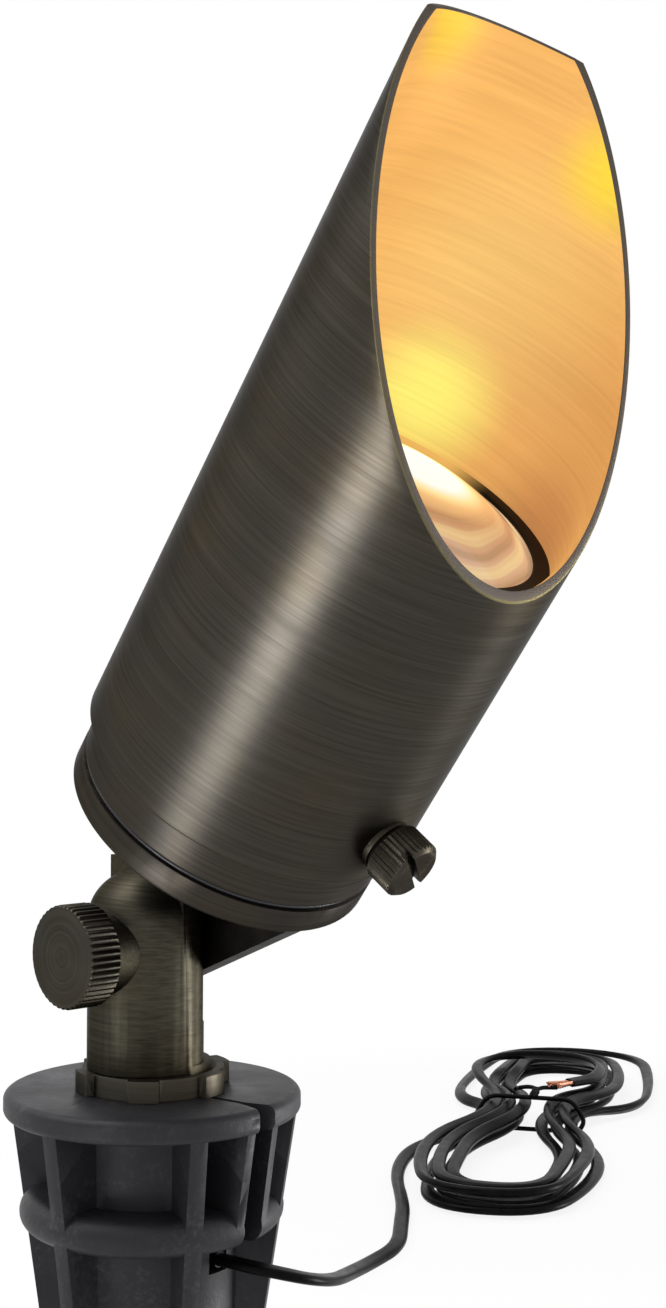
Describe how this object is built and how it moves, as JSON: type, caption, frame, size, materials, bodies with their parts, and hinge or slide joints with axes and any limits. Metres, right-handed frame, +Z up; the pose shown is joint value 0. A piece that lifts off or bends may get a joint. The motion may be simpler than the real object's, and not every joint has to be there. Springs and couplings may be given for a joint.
{
  "type": "garden spike spotlight",
  "caption": "Low-voltage brass spotlight on a ribbed ground stake, with a tubular glare shroud cut at a slant, a tilting knuckle with a knurled knob, and a hank of two-conductor cord",
  "frame": {"origin": "On the stake's axis at the soil line, 42 mm below the top of the stake", "axes": "+Z up, +X the side the head leans towards, -Y the side of the tilt knob"},
  "size_m": [0.1896, 0.2751, 0.3798],
  "materials": {
    "stake": "moulded black plastic with a fine grain",
    "lock_nut": "dark aged brass",
    "stem": "dark aged brass, satin",
    "tilt_knob": "dark aged brass, knurled",
    "rear_cap": "dark aged brass, satin",
    "cap_oring": "black silicone",
    "wire_grommet": "black rubber",
    "socket_bracket": "plated strap",
    "bracket_screws": "plated",
    "lamp_socket": "glazed ceramic, white",
    "socket_screws": "plated",
    "socket_leads": "pale silicone insulation",
    "lamp_pins": "bright",
    "lamp_base": "ceramic, white",
    "lamp_reflector": "mirrored glass",
    "lamp_capsule": "clear, lit",
    "lamp_front_glass": "clear",
    "lamp_housing": "dark aged brass, satin",
    "lens_gasket": "black silicone",
    "lens": "clear convex",
    "shroud": "dark aged brass, brushed round",
    "shroud_ring": "black silicone",
    "screw_bushing": "dark aged brass",
    "shroud_screw": "dark aged brass, knurled",
    "cord_inner": "black cord jacket",
    "cord_lead": "black cord jacket",
    "cord_hank": "black cord jacket",
    "cord_tie": "black coated wire",
    "copper_ends": "bare copper"
  },
  "bodies": {
    "ground": {"stake": "stake", "cord_inner": "cord_inner", "cord_lead": "cord_lead", "cord_hank": "cord_hank", "cord_tie": "cord_tie", "copper_ends": "copper_ends"},
    "nut": {"lock_nut": "lock_nut"},
    "column": {"stem": "stem"},
    "knob": {"tilt_knob": "tilt_knob"},
    "head": {"rear_cap": "rear_cap", "cap_oring": "cap_oring", "wire_grommet": "wire_grommet", "socket_bracket": "socket_bracket", "bracket_screws": "bracket_screws", "lamp_socket": "lamp_socket", "socket_screws": "socket_screws", "socket_leads": "socket_leads", "lamp_pins": "lamp_pins", "lamp_base": "lamp_base", "lamp_reflector": "lamp_reflector", "lamp_capsule": "lamp_capsule", "lamp_front_glass": "lamp_front_glass"},
    "barrel": {"lamp_housing": "lamp_housing", "lens_gasket": "lens_gasket", "lens": "lens"},
    "ring": {"shroud_ring": "shroud_ring"},
    "hood": {"shroud": "shroud", "screw_bushing": "screw_bushing"},
    "screw": {"shroud_screw": "shroud_screw"}
  },
  "joints": [
    {"name": "stem_pan", "type": "hinge", "parent": "ground", "child": "column", "pos_m": [0, 0, 0.042], "axis": [0, 0, 1], "range_deg": [-175, 175]},
    {"name": "lock_nut_turn", "type": "hinge", "parent": "column", "child": "nut", "pos_m": [0, 0, 0.044], "axis": [0, 0, 1], "range_deg": [0, 45]},
    {"name": "head_tilt", "type": "hinge", "parent": "column", "child": "head", "pos_m": [0, 0, 0.06815], "axis": [0, 1, 0], "range_deg": [-113, 37]},
    {"name": "knob_turn", "type": "hinge", "parent": "column", "child": "knob", "pos_m": [0, -0.0245, 0.06815], "axis": [0, -1, 0], "range_deg": [0, 360]},
    {"name": "housing_turn", "type": "hinge", "parent": "head", "child": "barrel", "pos_m": [0.02463, 0, 0.09967], "axis": [0.6157, 0, 0.788], "range_deg": [0, 360]},
    {"name": "shroud_slide", "type": "slide", "parent": "barrel", "child": "ring", "axis": [0.6157, 0, 0.788], "range_m": [-0.009, 0.025]},
    {"name": "shroud_turn", "type": "hinge", "parent": "ring", "child": "hood", "pos_m": [0.03694, 0, 0.11543], "axis": [0.6157, 0, 0.788], "continuous": true},
    {"name": "shroud_screw_turn", "type": "hinge", "parent": "hood", "child": "screw", "pos_m": [0.05888, 0.00473, 0.08883], "axis": [0.7803, 0.1392, -0.6097], "range_deg": [0, 360]}
  ]
}
